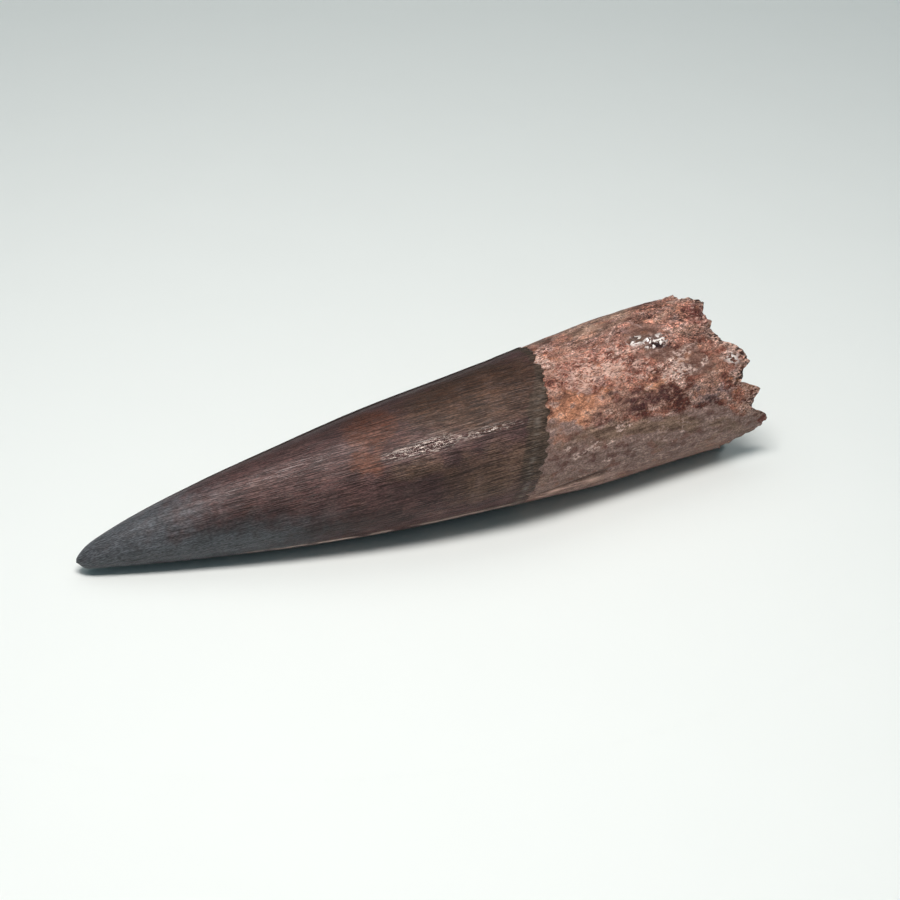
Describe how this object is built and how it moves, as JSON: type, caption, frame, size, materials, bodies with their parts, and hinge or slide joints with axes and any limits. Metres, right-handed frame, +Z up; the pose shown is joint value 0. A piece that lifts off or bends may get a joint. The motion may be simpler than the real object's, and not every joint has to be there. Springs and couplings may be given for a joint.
{
  "type": "fossil tooth",
  "caption": "Long conical fossil spinosaurus tooth with a slender enamel crown and a stout broken root, lying on its side.",
  "frame": {"origin": "centre of the footprint of the lying tooth, on the surface it rests on", "axes": "+X runs along the tooth from the point to the broken root, +Z is up, and -Y faces the viewer's side"},
  "size_m": [0.1396, 0.0326, 0.0304],
  "materials": {
    "fossil": "mineralised enamel and dentine, dark brown, worn and half gloss"
  },
  "bodies": {
    "root": {"tooth": "fossil"}
  },
  "joints": []
}
